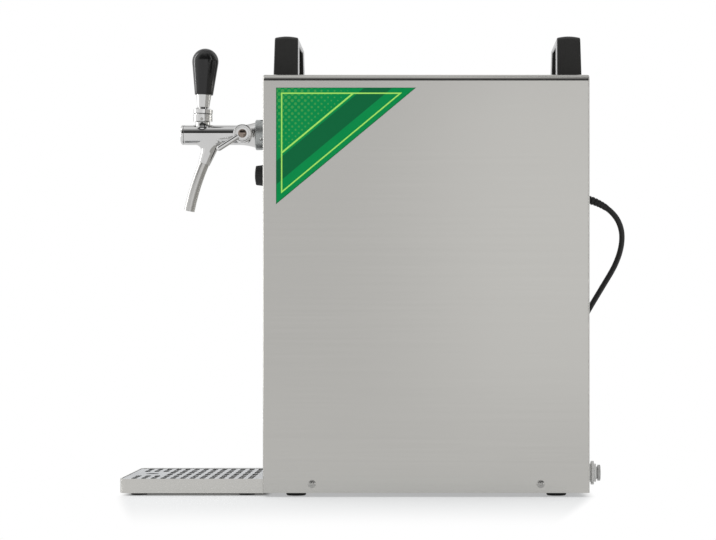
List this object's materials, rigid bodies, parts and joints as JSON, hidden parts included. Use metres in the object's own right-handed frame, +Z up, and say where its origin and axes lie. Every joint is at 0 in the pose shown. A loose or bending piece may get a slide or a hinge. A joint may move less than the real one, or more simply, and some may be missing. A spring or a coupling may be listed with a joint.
{
  "type": "draft beer dispenser",
  "caption": "Counter-top draft beer cooler: brushed steel box with a chrome compensator tap, drip tray, carry handles, rear push-fit inlet and mains cord.",
  "frame": {"origin": "on the floor, under the middle of the object's box without its cord", "axes": "+Z up, -Y toward the tap and the user, +X to the user's right"},
  "size_m": [0.3301, 0.5218, 0.4675],
  "materials": {
    "casing_steel": "brushed stainless sheet",
    "zinc_sheet": "galvanised sheet",
    "screw_steel": "bright steel",
    "chrome": "polished chrome plate",
    "black_plastic": "semi-gloss black",
    "rubber": "black rubber",
    "label": "printed film",
    "black_paint": "black stove enamel",
    "white_plastic": "natural white",
    "grey_plastic": "light grey",
    "copper": "drawn copper",
    "aluminium": "as cast",
    "foam": "rigid foam",
    "hose": "clear tube",
    "cord_sheath": "black sheath"
  },
  "bodies": {
    "cabinet": {"casing_wrap": "casing_steel", "front_panel": "casing_steel", "rear_panel": "casing_steel", "base_pan": "zinc_sheet", "block_shelf": "zinc_sheet", "fan_shroud": "zinc_sheet", "condenser_fins": "zinc_sheet", "compressor_base": "zinc_sheet", "sheet_screws": "screw_steel", "machine_screws": "screw_steel", "shank_locknut": "screw_steel", "lever_pin": "screw_steel", "coupling_ring": "chrome", "tap_body": "chrome", "tap_end_cap": "chrome", "tap_spout": "chrome", "lever_bonnet": "chrome", "tap_shank": "chrome", "front_carry_handle": "black_plastic", "rear_carry_handle": "black_plastic", "rubber_feet": "rubber", "compressor_grommets": "rubber", "side_label": "label", "compressor_shell": "black_paint", "fan_motor": "black_paint", "thermostat_body": "white_plastic", "terminal_block": "white_plastic", "inlet_union": "grey_plastic", "inlet_nut": "grey_plastic", "condenser_coil": "copper", "filter_drier": "copper", "discharge_pipe": "copper", "capillary_pipe": "copper", "suction_pipe": "copper", "thermostat_capillary": "copper", "cooling_block": "aluminium", "block_insulation": "foam", "inlet_hose": "hose", "outlet_hose": "hose", "supply_lead": "cord_sheath", "cord_gland": "cord_sheath", "power_cord": "cord_sheath", "cord_coil": "cord_sheath", "coil_tie": "cord_sheath", "mains_plug": "cord_sheath"},
    "tap_lever": {"lever_stem": "chrome", "handle_ferrule": "chrome", "handle_grip": "black_plastic"},
    "valve_plunger": {"valve_plunger": "screw_steel", "plunger_seal": "rubber"},
    "compensator_lever": {"compensator_lever": "chrome", "compensator_screw": "screw_steel"},
    "compensator_cone": {"compensator_cone": "white_plastic"},
    "thermostat_knob": {"thermostat_knob": "black_plastic", "thermostat_shaft": "screw_steel"},
    "fan_rotor": {"fan_rotor": "white_plastic"},
    "inlet_collet": {"inlet_collet": "white_plastic"},
    "drip_tray": {"drip_tray": "casing_steel", "tray_pads": "rubber"},
    "drip_grid": {"drip_grid": "casing_steel"}
  },
  "joints": [
    {"name": "lever_pull", "type": "hinge", "parent": "cabinet", "child": "tap_lever", "pos_m": [0, -0.1675, 0.387], "axis": [1, 0, 0], "range_deg": [0, 28]},
    {"name": "plunger_travel", "type": "slide", "parent": "cabinet", "child": "valve_plunger", "axis": [0, 1, 0], "range_m": [0, 0.0064]},
    {"name": "compensator_turn", "type": "hinge", "parent": "cabinet", "child": "compensator_lever", "pos_m": [0, -0.1245, 0.371], "axis": [1, 0, 0], "range_deg": [-45, 45]},
    {"name": "cone_travel", "type": "slide", "parent": "cabinet", "child": "compensator_cone", "axis": [0, -1, 0], "range_m": [-0.0022, 0.0022]},
    {"name": "thermostat_turn", "type": "hinge", "parent": "cabinet", "child": "thermostat_knob", "pos_m": [0, -0.097, 0.3286], "axis": [0, -1, 0], "range_deg": [-135, 135]},
    {"name": "fan_spin", "type": "hinge", "parent": "cabinet", "child": "fan_rotor", "pos_m": [-0.03, 0.1278, 0.11], "axis": [0, 1, 0], "continuous": true},
    {"name": "collet_press", "type": "slide", "parent": "cabinet", "child": "inlet_collet", "axis": [0, -1, 0], "range_m": [0, 0.0015]},
    {"name": "tray_pull", "type": "slide", "parent": "cabinet", "child": "drip_tray", "axis": [0, -1, 0], "range_m": [0, 0.15]},
    {"name": "grid_lift", "type": "slide", "parent": "drip_tray", "child": "drip_grid", "axis": [0, 0, 1], "range_m": [0, 0.06]}
  ],
  "couplings": [
    {"joint": "plunger_travel", "follows": "lever_pull", "m_per_rad": 0.0126},
    {"joint": "cone_travel", "follows": "compensator_turn", "m_per_rad": 0.0027}
  ]
}
